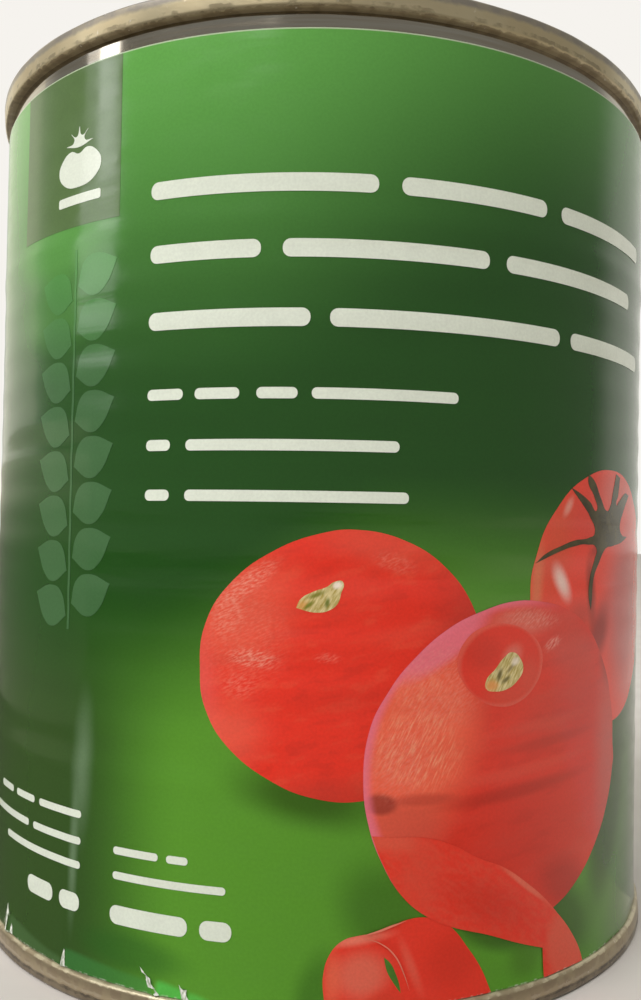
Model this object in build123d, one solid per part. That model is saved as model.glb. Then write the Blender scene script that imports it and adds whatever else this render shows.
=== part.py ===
from build123d import *
import math
import os

# A shut steel food tin with a paper label, millimetres, standing on z = 0.
# The tin's axis is Z, and the front of the label faces -Y.

# Driving dimensions
TIN_HEIGHT = 118.6
SEAM_RADIUS = 50.9
BODY_RADIUS = 49.75

# Double seam, the rolled joint between an end and the body
SEAM_HEIGHT = 2.9
SEAM_THICKNESS = 1.55
SEAM_TAPER = 0.12
SEAM_TOP_ROUND = 0.5
SEAM_HOOK_ROUND = 0.6
SEAM_CONTACT_WIDTH = SEAM_THICKNESS - 2 * SEAM_TOP_ROUND

# Seamed end: chuck wall, countersink groove and panel, as depths below the rim
WALL_THICKNESS = 0.4
CHUCK_WALL_FOOT_RADIUS = 48.55
COUNTERSINK_DEPTH = 5.0
COUNTERSINK_WIDTH = 1.5
PANEL_DEPTH = 4.4
PLUG_DEPTH = 6.0
PLUG_RADIUS = BODY_RADIUS - WALL_THICKNESS

# Expansion rings pressed into each panel: middle radius, width and height
PANEL_RINGS = [(42.5, 3.0, -0.45), (37.5, 3.0, -0.45), (31.0, 2.4, -0.35)]

# Beads rolled into the body's middle, which leave a plain band above and below
BEAD_ZONE_BOTTOM = 27.3
BEAD_ZONE_TOP = 91.3
BEAD_COUNT = 12
BEAD_DEPTH = 0.5
BEAD_LAND = 1.2
BEAD_PITCH = (BEAD_ZONE_TOP - BEAD_ZONE_BOTTOM) / BEAD_COUNT

# Paper label, wrapped once round the body and glued along a lap at the back
LABEL_THICKNESS = 0.2
LABEL_CLEARANCE = 0.05
LABEL_BOTTOM = SEAM_HEIGHT + 0.05
LABEL_TOP = 113.65
LABEL_INNER_RADIUS = BODY_RADIUS + LABEL_CLEARANCE
LABEL_OUTER_RADIUS = LABEL_INNER_RADIUS + LABEL_THICKNESS
LAP_WIDTH = 9.0
LAP_THICKNESS = 0.15
LAP_AZIMUTH = 90.0


def round_about_axis(outline):
    """Turn a closed outline in the XZ plane once round the tin's axis."""
    return revolve(Plane.XZ * make_face(outline), Axis.Z)


def add_ring(start, middle_radius, width, height):
    """Return the arc of one pressed ring, which runs inwards from start."""
    crown = (middle_radius, start[1] + height)
    end = (middle_radius - width / 2, start[1])
    return ThreePointArc(start, crown, end)


def end_outline():
    """Half section of a seamed end, with its rim at height 0 and the tin below it."""
    seam_top_outer = SEAM_RADIUS - SEAM_TOP_ROUND
    seam_top_inner = seam_top_outer - SEAM_CONTACT_WIDTH
    seam_inner = SEAM_RADIUS - SEAM_THICKNESS
    hook_radius = SEAM_RADIUS - SEAM_TAPER
    groove_outer = CHUCK_WALL_FOOT_RADIUS
    groove_inner = groove_outer - COUNTERSINK_WIDTH
    groove_middle = (groove_outer + groove_inner) / 2
    diagonal = SEAM_TOP_ROUND * (1 - math.sqrt(0.5))
    hook_diagonal = SEAM_HOOK_ROUND * (1 - math.sqrt(0.5))

    edges = [
        Line((0, -PLUG_DEPTH), (PLUG_RADIUS, -PLUG_DEPTH)),
        Line((PLUG_RADIUS, -PLUG_DEPTH), (PLUG_RADIUS, -SEAM_HEIGHT)),
        Line((PLUG_RADIUS, -SEAM_HEIGHT), (hook_radius - SEAM_HOOK_ROUND, -SEAM_HEIGHT)),
        ThreePointArc(
            (hook_radius - SEAM_HOOK_ROUND, -SEAM_HEIGHT),
            (hook_radius - hook_diagonal, -SEAM_HEIGHT + hook_diagonal),
            (hook_radius, -SEAM_HEIGHT + SEAM_HOOK_ROUND),
        ),
        Line((hook_radius, -SEAM_HEIGHT + SEAM_HOOK_ROUND), (SEAM_RADIUS, -SEAM_TOP_ROUND)),
        ThreePointArc(
            (SEAM_RADIUS, -SEAM_TOP_ROUND),
            (SEAM_RADIUS - diagonal, -diagonal),
            (seam_top_outer, 0),
        ),
        Line((seam_top_outer, 0), (seam_top_inner, 0)),
        ThreePointArc(
            (seam_top_inner, 0),
            (seam_inner + diagonal, -diagonal),
            (seam_inner, -SEAM_TOP_ROUND),
        ),
        Line((seam_inner, -SEAM_TOP_ROUND), (groove_outer, -PANEL_DEPTH)),
        ThreePointArc(
            (groove_outer, -PANEL_DEPTH),
            (groove_middle, -COUNTERSINK_DEPTH),
            (groove_inner, -PANEL_DEPTH),
        ),
    ]
    point = (groove_inner, -PANEL_DEPTH)
    for middle_radius, width, height in PANEL_RINGS:
        ring_start = (middle_radius + width / 2, -PANEL_DEPTH)
        edges.append(Line(point, ring_start))
        edges.append(add_ring(ring_start, middle_radius, width, height))
        point = (middle_radius - width / 2, -PANEL_DEPTH)
    edges.append(Line(point, (0, -PANEL_DEPTH)))
    edges.append(Line((0, -PANEL_DEPTH), (0, -PLUG_DEPTH)))
    return edges


def make_end():
    """One seamed end, rim upwards at height 0."""
    return round_about_axis(end_outline())


def make_top_end():
    return Pos(0, 0, TIN_HEIGHT) * make_end()


def make_base_end():
    return Rot(180, 0, 0) * make_end()


def make_body():
    """The filled body: a beaded wall whose two edges stand round the ends' plugs."""
    wall_bottom = SEAM_HEIGHT
    wall_top = TIN_HEIGHT - SEAM_HEIGHT
    fill_bottom = PLUG_DEPTH
    fill_top = TIN_HEIGHT - PLUG_DEPTH
    inner = BODY_RADIUS - WALL_THICKNESS

    edges = [
        Line((0, fill_bottom), (inner, fill_bottom)),
        Line((inner, fill_bottom), (inner, wall_bottom)),
        Line((inner, wall_bottom), (BODY_RADIUS, wall_bottom)),
    ]
    point = (BODY_RADIUS, wall_bottom)
    for number in range(BEAD_COUNT):
        bead_start = BEAD_ZONE_BOTTOM + number * BEAD_PITCH + BEAD_LAND / 2
        bead_end = bead_start + BEAD_PITCH - BEAD_LAND
        bead_middle = (bead_start + bead_end) / 2
        edges.append(Line(point, (BODY_RADIUS, bead_start)))
        edges.append(
            ThreePointArc(
                (BODY_RADIUS, bead_start),
                (BODY_RADIUS - BEAD_DEPTH, bead_middle),
                (BODY_RADIUS, bead_end),
            )
        )
        point = (BODY_RADIUS, bead_end)
    edges += [
        Line(point, (BODY_RADIUS, wall_top)),
        Line((BODY_RADIUS, wall_top), (inner, wall_top)),
        Line((inner, wall_top), (inner, fill_top)),
        Line((inner, fill_top), (0, fill_top)),
        Line((0, fill_top), (0, fill_bottom)),
    ]
    return round_about_axis(edges)


def make_sleeve(inner_radius, outer_radius, turn):
    """A paper sleeve of the label's height that covers a turn of the given degrees."""
    section = make_face(
        Polyline(
            (inner_radius, LABEL_BOTTOM),
            (outer_radius, LABEL_BOTTOM),
            (outer_radius, LABEL_TOP),
            (inner_radius, LABEL_TOP),
            close=True,
        )
    )
    return revolve(Plane.XZ * section, Axis.Z, turn)


def make_label():
    """The label's sleeve, with the second layer of paper where its two ends lap."""
    sleeve = make_sleeve(LABEL_INNER_RADIUS, LABEL_OUTER_RADIUS, 360)
    lap_turn = math.degrees(LAP_WIDTH / LABEL_OUTER_RADIUS)
    lap_outer = LABEL_OUTER_RADIUS + LAP_THICKNESS
    lap_inner = LABEL_OUTER_RADIUS - LABEL_THICKNESS / 2
    lap = Rot(0, 0, LAP_AZIMUTH - lap_turn / 2) * make_sleeve(lap_inner, lap_outer, lap_turn)
    return sleeve + lap


PARTS = {
    "can_body": make_body,
    "top_end": make_top_end,
    "base_end": make_base_end,
    "paper_label": make_label,
}

os.makedirs("parts", exist_ok=True)
for node, make_part in PARTS.items():
    export_step(make_part(), f"parts/{node}.step")
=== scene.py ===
import math

import bpy
import numpy as np
from mathutils import Matrix, Vector


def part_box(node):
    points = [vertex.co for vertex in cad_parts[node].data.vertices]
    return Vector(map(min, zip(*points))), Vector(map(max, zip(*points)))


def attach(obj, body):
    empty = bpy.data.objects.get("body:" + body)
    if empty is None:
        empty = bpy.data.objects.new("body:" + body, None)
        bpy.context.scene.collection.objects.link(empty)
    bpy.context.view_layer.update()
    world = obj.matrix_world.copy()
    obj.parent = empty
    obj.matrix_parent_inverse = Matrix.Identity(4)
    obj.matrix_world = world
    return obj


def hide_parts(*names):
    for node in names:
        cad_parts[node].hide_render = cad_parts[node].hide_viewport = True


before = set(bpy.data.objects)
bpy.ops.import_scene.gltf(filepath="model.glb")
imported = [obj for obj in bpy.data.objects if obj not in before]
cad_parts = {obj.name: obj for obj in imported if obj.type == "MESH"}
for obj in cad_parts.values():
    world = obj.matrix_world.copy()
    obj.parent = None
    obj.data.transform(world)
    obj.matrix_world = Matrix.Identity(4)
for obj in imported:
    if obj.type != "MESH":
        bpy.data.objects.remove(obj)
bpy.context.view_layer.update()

bl_info = {
    "name": "Tomato tin",
    "version": (1, 0, 0),
    "blender": (4, 5, 0),
    "location": "3D View > Sidebar > Tomato tin",
    "description": "Dresses the packed frame of a food tin with a printed paper label",
    "category": "Object",
}

MM = 0.001
BODY = "root"

# Read from the frame, in mm.
LABEL_RADIUS = -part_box("paper_label")[0].x / MM
LABEL_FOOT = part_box("paper_label")[0].z / MM
LABEL_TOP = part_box("paper_label")[1].z / MM
LAP_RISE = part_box("paper_label")[1].y / MM - LABEL_RADIUS
WALL_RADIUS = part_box("can_body")[1].x / MM
WALL_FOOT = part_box("can_body")[0].z / MM
WALL_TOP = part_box("can_body")[1].z / MM
SEAM_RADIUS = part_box("top_end")[1].x / MM
TIN_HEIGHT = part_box("top_end")[1].z / MM
SEAM_HEIGHT = TIN_HEIGHT - WALL_TOP
END_DEPTH = TIN_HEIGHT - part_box("top_end")[0].z / MM

# Heights in the print are counted from this height above the table.
PRINT_ZERO = 0.3
PAPER_FOOT = LABEL_FOOT - PRINT_ZERO
PAPER_TOP = LABEL_TOP - PRINT_ZERO


def linear(code):
    """An sRGB hex colour as the linear colour, with alpha, that a shader reads."""
    values = [int(code[i : i + 2], 16) / 255 for i in (1, 3, 5)]
    return tuple(v / 12.92 if v <= 0.04045 else ((v + 0.055) / 1.055) ** 2.4 for v in values) + (1.0,)


def length(label, about, default):
    """A size property in metres, given in mm."""
    return bpy.props.FloatProperty(
        name=label, description=about, default=default * MM, unit="LENGTH", subtype="DISTANCE", precision=5
    )


def paint(label, about, code):
    """A colour property, given in hex."""
    return bpy.props.FloatVectorProperty(
        name=label, description=about, default=linear(code), size=4, min=0.0, max=1.0, subtype="COLOR"
    )


class TinSizes(bpy.types.PropertyGroup):
    """Sizes of the label and the tin that can be changed before the pieces are made"""

    paper: length("Paper", "Thickness of the label's paper", 0.1)
    ink_step: length("Ink step", "How far each printed layer stands off the one below it", 0.03)
    ink_film: length("Ink film", "Thickness of a printed layer", 0.018)
    lap: length("Lap", "Width of the glued lap at the back", 9.0)
    bead_pitch: length("Bead pitch", "Distance between the beads rolled into the body", 16 / 3)
    bead_low: length("Lowest bead", "Height at which the beads start", 27.0)
    bead_high: length("Highest bead", "Height at which the beads end", 91.0)
    bead_depth: length("Bead depth", "Depth of the beads in the body", 0.5)
    paper_sag: length("Paper sag", "How far the paper sinks over each bead", 0.07)


class TinColours(bpy.types.PropertyGroup):
    """Colours of the print and the metal"""

    deep_green: paint("Deep green", "The label's middle", "#214C19")
    top_green: paint("Top green", "Glow at the label's top", "#63A84C")
    ground_green: paint("Ground green", "Bright ground under the tomatoes", "#5B962F")
    shade_green: paint("Shaded green", "Ground left of the glow", "#375325")
    tag: paint("Tag green", "The tag at the upper left", "#54703F")
    sprig: paint("Sprig", "The leaves on the left, in the dark part of the ground", "#41693F")
    sprig_glow: paint("Sprig in the glow", "The leaves under the tag", "#4F8F43")
    white: paint("White ink", "Bars and emblem", "#DFE6D8")
    fibre: paint("Paper fibre", "Torn and cut paper", "#D8D9C8")
    peeled: paint("Peeled red", "The left tomato", "#E83828")
    front: paint("Front red", "The large peeled tomato", "#E03A2A")
    skin: paint("Skin red", "The tomato with its stalk", "#EE4A38")
    peel: paint("Peel red", "The strip and curl of peel", "#E63C2B")
    calyx: paint("Calyx", "Stalk and sepals", "#4C452B")
    lacquer: paint("Lacquer", "Gold lacquer on the ends", "#CBBF9F")
    tinplate: paint("Tinplate", "Bare tinplate", "#BDB8AE")


# ---------------------------------------------------------------- modelling


def deselect():
    """Nothing stays selected, so that an operator acts only on what is picked next."""
    if bpy.context.object and bpy.context.object.mode != "OBJECT":
        bpy.ops.object.mode_set(mode="OBJECT")
    bpy.ops.object.select_all(action="DESELECT")


def pick(obj):
    """Makes one object the only selected and active one."""
    deselect()
    obj.select_set(True)
    bpy.context.view_layer.objects.active = obj


def join(objects, name):
    """Joins finished meshes into one piece."""
    deselect()
    for obj in objects:
        obj.select_set(True)
    bpy.context.view_layer.objects.active = objects[0]
    if len(objects) > 1:
        bpy.ops.object.join()
    objects[0].name = name
    return objects[0]


def apply_modifier(obj, kind, **settings):
    """Adds a modifier and applies it at once."""
    pick(obj)
    modifier = obj.modifiers.new(kind.title(), kind)
    for key, value in settings.items():
        setattr(modifier, key, value)
    bpy.ops.object.modifier_apply(modifier=modifier.name)


def read_points(obj):
    found = np.empty(len(obj.data.vertices) * 3)
    obj.data.vertices.foreach_get("co", found)
    return found.reshape(-1, 3)


def write_points(obj, points):
    obj.data.vertices.foreach_set("co", np.asarray(points, float).ravel())
    obj.data.update()


def smoothstep(low, high, x):
    t = np.clip((x - low) / (high - low), 0, 1)
    return t * t * (3 - 2 * t)


def hump(x, middle, width):
    return np.exp(-(((x - middle) / width) ** 2))


# Creases pressed into the label's foot when the tin was knocked: foot, tip, height and half width, in mm.
CREASES = [
    ((-46.4, 2.6), (-46.8, 6.6), 0.45, 0.7),
    ((-32.8, 2.6), (-32.2, 8.5), 0.40, 0.45),
    ((-32.2, 8.5), (-31.2, 38.0), 0.07, 1.0),
    ((-18.0, 2.6), (-20.3, 6.2), 0.40, 0.4),
    ((-14.2, 2.6), (-15.2, 4.8), 0.30, 0.4),
    ((-22.3, 85.2), (-25.9, 87.1), 0.05, 0.35),
]


def crease_relief(across, height):
    """How far the creases push the paper out, in mm."""
    relief = np.zeros_like(across)
    for foot, tip, rise, half_width in CREASES:
        run = np.subtract(tip, foot)
        share = ((across - foot[0]) * run[0] + (height - foot[1]) * run[1]) / run.dot(run)
        share = np.clip(share, 0, 1)
        off = np.hypot(across - foot[0] - share * run[0], height - foot[1] - share * run[1])
        relief += rise * (1 - 0.7 * share) * np.exp(-((off / half_width) ** 2))
    return relief


def paper_radius(across, height, sizes):
    """Radius in mm of the paper's outer face, at an arc length right of the front line and a height."""
    low, high, pitch = sizes.bead_low / MM, sizes.bead_high / MM, sizes.bead_pitch / MM
    over_beads = smoothstep(low - 0.5, low + 1.5, height) * (1 - smoothstep(high - 1.5, high + 0.5, height))
    uneven = 1 + 0.5 * np.sin(across / 11 + height / 23) * np.sin(across / 7.3 - height / 9)
    sag = sizes.paper_sag / MM * (1 - np.cos(2 * math.pi * (height - low) / pitch)) / 2
    edge_beads = 0.10 * hump(height, high + 0.8, 1.1) + 0.07 * hump(height, low - 0.3, 0.9)
    slow = 0.05 * np.sin(across / 8.5 + 0.06 * height) * np.sin(height / 17 + across / 31)
    foot_wave = 0.5 + 0.5 * np.sin(across / 5.3) * np.sin(across / 2.9 + 1.0)
    flare = (0.05 + 0.22 * foot_wave) * np.exp(-(height - PAPER_FOOT) / 1.6)
    radius = LABEL_RADIUS + 0.12 - over_beads * sag * uneven + edge_beads * uneven + slow + flare
    lap_start = math.pi * LABEL_RADIUS - sizes.lap / MM
    radius += LAP_RISE * smoothstep(lap_start - 6, lap_start + 2, across)
    return radius + crease_relief(across, height)


def lay_on_tin(obj, lift=0.0):
    """Wraps a flat piece, modelled in mm of paper, round the tin, and leaves it in metres."""
    sizes = bpy.context.scene.tin_sizes
    across, height, out = read_points(obj).T
    radius = paper_radius(across, height, sizes) + out + lift
    angle = across / LABEL_RADIUS
    slant = 0.3 * np.sin(angle) * (height - PAPER_FOOT) / (PAPER_TOP - PAPER_FOOT)
    tilted = PRINT_ZERO + np.maximum(height + slant, PAPER_FOOT)
    points = np.stack([radius * np.sin(angle), -radius * np.cos(angle), tilted], axis=1)
    write_points(obj, points * MM)


def edit_curve(name, curve):
    """Turns a curve into a mesh object, in edit mode with all of it selected."""
    obj = bpy.data.objects.new(name, curve)
    bpy.context.scene.collection.objects.link(obj)
    pick(obj)
    bpy.ops.object.convert(target="MESH")
    bpy.ops.object.mode_set(mode="EDIT")
    bpy.ops.mesh.select_all(action="SELECT")


def cut_flat(name, outlines, fineness=10):
    """Cuts flat shapes from closed smooth outlines, in mm of paper.

    A point with a third value is a sharp corner.
    """
    curve = bpy.data.curves.new(name, "CURVE")
    curve.dimensions = "2D"
    curve.fill_mode = "NONE"
    curve.resolution_u = fineness
    for outline in outlines:
        spline = curve.splines.new("BEZIER")
        spline.bezier_points.add(len(outline) - 1)
        spline.use_cyclic_u = True
        for point, (x, y, *sharp) in zip(spline.bezier_points, outline):
            point.co = (x, y, 0)
            point.handle_left_type = point.handle_right_type = "VECTOR" if sharp else "AUTO"
    edit_curve(name, curve)
    bpy.ops.mesh.edge_face_add()
    bpy.ops.object.mode_set(mode="OBJECT")
    return face_up(bpy.context.object)


def sliver(*stations):
    """Outline of a thin stroke with pointed ends, through places given as x, y and half width."""
    places = np.array(stations, float)
    run = np.gradient(places[:, :2], axis=0)
    side = np.stack([-run[:, 1], run[:, 0]], axis=1) / np.linalg.norm(run, axis=1)[:, None] * places[:, 2:]
    left, right = (places[:, :2] + side).tolist(), (places[:, :2] - side).tolist()
    return [(*left[0], 1), *left[1:-1], (*left[-1], 1), *right[-2:0:-1]]


def face_up(obj):
    """Turns every face of a flat shape the same way, outwards once it is wrapped."""
    pick(obj)
    for polygon in obj.data.polygons:
        polygon.select = polygon.normal.z < 0
    bpy.ops.object.mode_set(mode="EDIT")
    bpy.ops.mesh.select_mode(type="FACE")
    bpy.ops.mesh.flip_normals()
    bpy.ops.object.mode_set(mode="OBJECT")
    return obj


def bar(left, right, foot, top, rounding=0.5):
    """A flat bar with rounded ends, its corners bevelled by a share of half its shorter side."""
    deselect()
    bpy.ops.mesh.primitive_plane_add(size=1, location=(0, 0, 0))
    obj = bpy.context.object
    bpy.ops.object.mode_set(mode="EDIT")
    bpy.ops.transform.resize(value=(right - left, top - foot, 1))
    bpy.ops.transform.translate(value=((left + right) / 2, (foot + top) / 2, 0))
    bpy.ops.mesh.select_all(action="SELECT")
    short = min(right - left, top - foot)
    bpy.ops.mesh.bevel(offset=rounding * short / 2, segments=5, affect="VERTICES")
    bpy.ops.object.mode_set(mode="OBJECT")
    return face_up(obj)


# Width and height in mm of the cells of a printed shape, small enough to follow the tin and its beads.
CELL = (1.2, 0.75)


def slice_flat(obj):
    """Slices a flat shape into cells, so that it can be wrapped."""
    pick(obj)
    points = read_points(obj)
    bpy.ops.object.mode_set(mode="EDIT")
    for axis, step in enumerate(CELL):
        low, high = points[:, axis].min(), points[:, axis].max()
        normal = [0.0, 0.0, 0.0]
        normal[axis] = 1.0
        for number in range(math.floor(low / step) + 1, math.ceil(high / step)):
            bpy.ops.mesh.select_all(action="SELECT")
            bpy.ops.mesh.bisect(plane_co=[number * step * n for n in normal], plane_no=normal)
    bpy.ops.object.mode_set(mode="OBJECT")


def write_maps(obj, rows=1):
    """Gives a flat piece its place on the paper in mm, and a tidy second map named OFBake.

    The outer faces fill most of that map, in one row or more. The back and the edges keep to a strip
    above them.
    """
    mesh = obj.data
    corners = np.empty(len(mesh.loops), int)
    mesh.loops.foreach_get("vertex_index", corners)
    place = read_points(obj)[corners][:, :2]
    outer = np.repeat([p.normal.z > 0.5 for p in mesh.polygons], [p.loop_total for p in mesh.polygons])
    centres = np.repeat([p.center.x for p in mesh.polygons], [p.loop_total for p in mesh.polygons])
    low, high = place.min(axis=0), place.max(axis=0)
    share = (place - low) / (high - low)
    row = np.clip(np.floor((centres - low[0]) / (high[0] - low[0]) * rows), 0, rows - 1)
    tidy = np.stack([share[:, 0] * rows - row, (row + 0.02 + 0.96 * share[:, 1]) / rows], axis=1)
    tidy = 0.01 + tidy * (0.98, 0.93)
    tidy[~outer] = (0.01, 0.965) + share[~outer] * (0.98, 0.02)
    for name, values in (("PrintPlace", place), ("OFBake", tidy)):
        layer = mesh.uv_layers.new(name=name)
        layer.data.foreach_set("uv", values.astype(np.float32).ravel())


def finish(obj, material, slot, *nodes):
    """Gives a placed piece its material and its body, and hides the nodes that it stands for; the slot is not
    used.
    """
    obj.data.materials.clear()
    obj.data.materials.append(material)
    pick(obj)
    bpy.ops.object.shade_smooth_by_angle(angle=math.radians(35))
    deselect()
    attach(obj, BODY)
    if nodes:
        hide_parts(*nodes)


def print_piece(flat, material, layer):
    """Turns a flat shape into a film of ink on the label, on the given layer."""
    sizes = bpy.context.scene.tin_sizes
    slice_flat(flat)
    apply_modifier(flat, "SOLIDIFY", thickness=sizes.ink_film / MM, offset=-1)
    write_maps(flat)
    lay_on_tin(flat, layer * sizes.ink_step / MM)
    finish(flat, material, "label_paper")


def turned(name, profile, steps=256):
    """Spins a closed profile of (radius, height) in mm once round the tin's axis."""
    curve = bpy.data.curves.new(name, "CURVE")
    curve.dimensions = "3D"
    spline = curve.splines.new("POLY")
    spline.points.add(len(profile) - 1)
    spline.use_cyclic_u = True
    for point, (radius, height) in zip(spline.points, profile):
        point.co = (radius * MM, 0, height * MM, 1)
    edit_curve(name, curve)
    bpy.ops.mesh.spin(steps=steps, angle=math.tau, center=(0, 0, 0), axis=(0, 0, 1))
    bpy.ops.mesh.select_all(action="SELECT")
    bpy.ops.mesh.remove_doubles(threshold=0.002 * MM)
    bpy.ops.mesh.normals_make_consistent(inside=False)
    bpy.ops.object.mode_set(mode="OBJECT")
    return bpy.context.object


def arc(middle, radius, start, end, count=6):
    """Points of an arc in a profile, in mm and degrees."""
    turns = np.radians(np.linspace(start, end, count + 1))
    return [(middle[0] + radius * math.cos(t), middle[1] + radius * math.sin(t)) for t in turns]


# ---------------------------------------------------------------- materials


def add(tree, kind, inputs=None, **settings):
    """Adds a shader node with its settings. Each input is a value or another node's output."""
    node = tree.nodes.new("ShaderNode" + kind)
    for key, value in settings.items():
        setattr(node, key, value)
    for key, value in (inputs or {}).items():
        if isinstance(value, bpy.types.NodeSocket):
            tree.links.new(value, node.inputs[key])
        else:
            node.inputs[key].default_value = value
    return node


def picked(key):
    """A colour set in the panel, by its key."""
    return tuple(getattr(bpy.context.scene.tin_colours, key))


def new_material(name):
    """An empty node material and its tree."""
    material = bpy.data.materials.new(name)
    material.use_nodes = True
    material.node_tree.nodes.clear()
    return material, material.node_tree


def surface(tree, kind, inputs):
    """Ends a material's tree with its shader and output."""
    add(tree, "OutputMaterial", {0: add(tree, kind, inputs).outputs[0]})


def blend(tree, amount, under, over):
    """Lays one colour over another."""
    return add(tree, "Mix", {0: amount, 6: under, 7: over}, data_type="RGBA").outputs[2]


def fade(tree, value, start, end, low=0.0, high=1.0):
    """A value that runs smoothly from low at start to high at end."""
    inputs = {0: value, 1: start, 2: end, 3: low, 4: high}
    return add(tree, "MapRange", inputs, interpolation_type="SMOOTHSTEP").outputs[0]


def maths(tree, operation, *values):
    """The result of one operation on values or outputs."""
    return add(tree, "Math", dict(enumerate(values)), operation=operation).outputs[0]


def times(tree, a, b):
    return maths(tree, "MULTIPLY", a, b)


def dimmed(tree, colour, level):
    """A colour times a level."""
    return add(tree, "VectorMath", {0: colour, 3: level}, operation="SCALE").outputs[0]


def noise(tree, place, size, detail=3.0):
    """Noise whose grains have the given size."""
    return add(tree, "TexNoise", {"Vector": place, "Scale": 1 / size, "Detail": detail}).outputs[0]


def seen_from(tree, place, middle, unit, turn=0.0):
    """A place as seen from a middle, turned in degrees and measured in units across and up."""
    inputs = {0: place, 1: (*middle, 0), 2: (0, 0, math.radians(turn)), 3: (*unit, 1)}
    return add(tree, "Mapping", inputs, vector_type="TEXTURE").outputs[0]


def magnitude(tree, place):
    return add(tree, "VectorMath", {0: place}, operation="LENGTH").outputs[1]


def spot(tree, place, middle, half_size, turn, core, strength):
    """A soft ellipse, from its strength inside the core to nothing at its rim."""
    far = magnitude(tree, seen_from(tree, place, middle, half_size, turn))
    return fade(tree, far, core, 1.0, strength, 0.0)


def spots(tree, place, under, marks):
    """Lays soft ellipses of colour over a field.

    Each mark is its middle, half size across and up, turn in degrees, core, strength and colour.
    """
    for x, y, half_x, half_y, turn, core, strength, code in marks:
        amount = spot(tree, place, (x, y), (half_x, half_y), turn, core, strength)
        under = blend(tree, amount, under, linear(code))
    return under


def grain(tree, place, size, turn=0.0, detail=3.0):
    """Noise whose grains are the given width and height in mm, on the printed place."""
    return noise(tree, seen_from(tree, place, (0, 0), size, turn), 1.0, detail)


def coated_paper(name, colour_of):
    """Wood-free paper, offset printed and varnished.

    The varnish gives one even gloss over paper and ink, and the paper's slow waves break the reflections up.
    """
    material, tree = new_material(name)
    place = add(tree, "UVMap", uv_map="PrintPlace").outputs[0]
    height = add(tree, "SeparateXYZ", {0: place}).outputs[1]
    mottle = fade(tree, grain(tree, place, (0.35, 0.35)), 0.3, 0.7, 0.965, 1.035)
    colour = dimmed(tree, colour_of(tree, place), mottle)
    fibre = picked("fibre")
    colour = blend(tree, fade(tree, height, PAPER_TOP - 0.2, PAPER_TOP - 0.1, 0.0, 0.6), colour, fibre)
    frayed = fade(tree, grain(tree, place, (0.7, 9.0), detail=5.0), 0.45, 0.75, 0.0, 0.6)
    foot = fade(tree, height, PAPER_FOOT + 0.22, PAPER_FOOT + 0.12)
    colour = blend(tree, times(tree, foot, frayed), colour, fibre)
    waves = grain(tree, place, (16.0, 1.6), detail=2.0)
    normal = add(tree, "Bump", {"Strength": 0.35, "Distance": 0.06 * MM, "Height": waves}).outputs[0]
    rough = fade(tree, grain(tree, place, (6.0, 2.5)), 0.3, 0.7, 0.10, 0.17)
    surface(tree, "BsdfPrincipled", {"Base Color": colour, "Roughness": rough, "Normal": normal, "IOR": 1.5})
    return material


def plain_ink(name, colour, shift):
    """One printed colour, uneven by a share as offset ink is."""

    def colour_of(tree, place):
        cloud = fade(tree, grain(tree, place, (2.5, 2.5)), 0.3, 0.7, 1 - shift, 1 + shift)
        return dimmed(tree, colour[:3], cloud)

    return coated_paper(name, colour_of)


# Soft marks on the ground: shade round the fruit, light on the paper's waves and a band of light on the left.
GROUND_MARKS = [
    (-1.0, 26.2, 12.0, 4.5, -12, 0.2, 0.75, "#2E4A14"),
    (8.0, 13.0, 6.5, 9.0, 35, 0.3, 0.55, "#345A1C"),
    (44.0, 20.0, 6.0, 15.0, -18, 0.4, 0.7, "#2C3F1C"),
    (33.0, 9.0, 10.0, 6.0, -35, 0.3, 0.7, "#2F4A1C"),
    (21.5, 9.2, 7.5, 2.4, -20, 0.3, 0.75, "#3A5E20"),
    (26.5, 5.5, 3.6, 3.6, 0, 0.2, 0.45, "#42651F"),
    (0.5, 4.0, 3.5, 7.0, -10, 0.3, 0.5, "#2F5A1B"),
    (40.0, 31.0, 22.0, 7.0, 0, 0.4, 0.6, "#274317"),
    (-38.0, 91.5, 15.0, 6.0, 0, 0.3, 0.3, "#74C05C"),
    (-38.0, 83.0, 13.0, 6.0, 0, 0.3, 0.2, "#6FB558"),
    (-22.0, 6.6, 10.0, 3.2, -3, 0.3, 0.55, "#2C5F22"),
    (-30.0, 27.0, 2.4, 12.0, -2, 0.0, 0.34, "#8FA98A"),
    (-31.2, 16.0, 1.1, 11.0, -1, 0.0, 0.35, "#93AD8E"),
]

# The paper lifts at its foot between the creases, and the light that falls on these flaps is painted on as
# brighter green: left and right end, height at each end, strength and colour.
FOOT_FLAP_LIGHT = [
    (-46.0, -33.0, 4.9, 3.6, 0.40, "#56794C"),
    (-32.2, -18.6, 4.9, 4.2, 0.45, "#418A46"),
    (-18.2, -14.8, 4.3, 3.9, 0.80, "#56BE50"),
    (-14.3, -9.5, 3.6, 2.6, 0.70, "#58BA4E"),
]

# How far the edges of the top glow and of the bright ground rise towards the right of the front, in mm.
TOP_GLOW_RISE = 19.0
GROUND_RISE = 14.0


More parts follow.
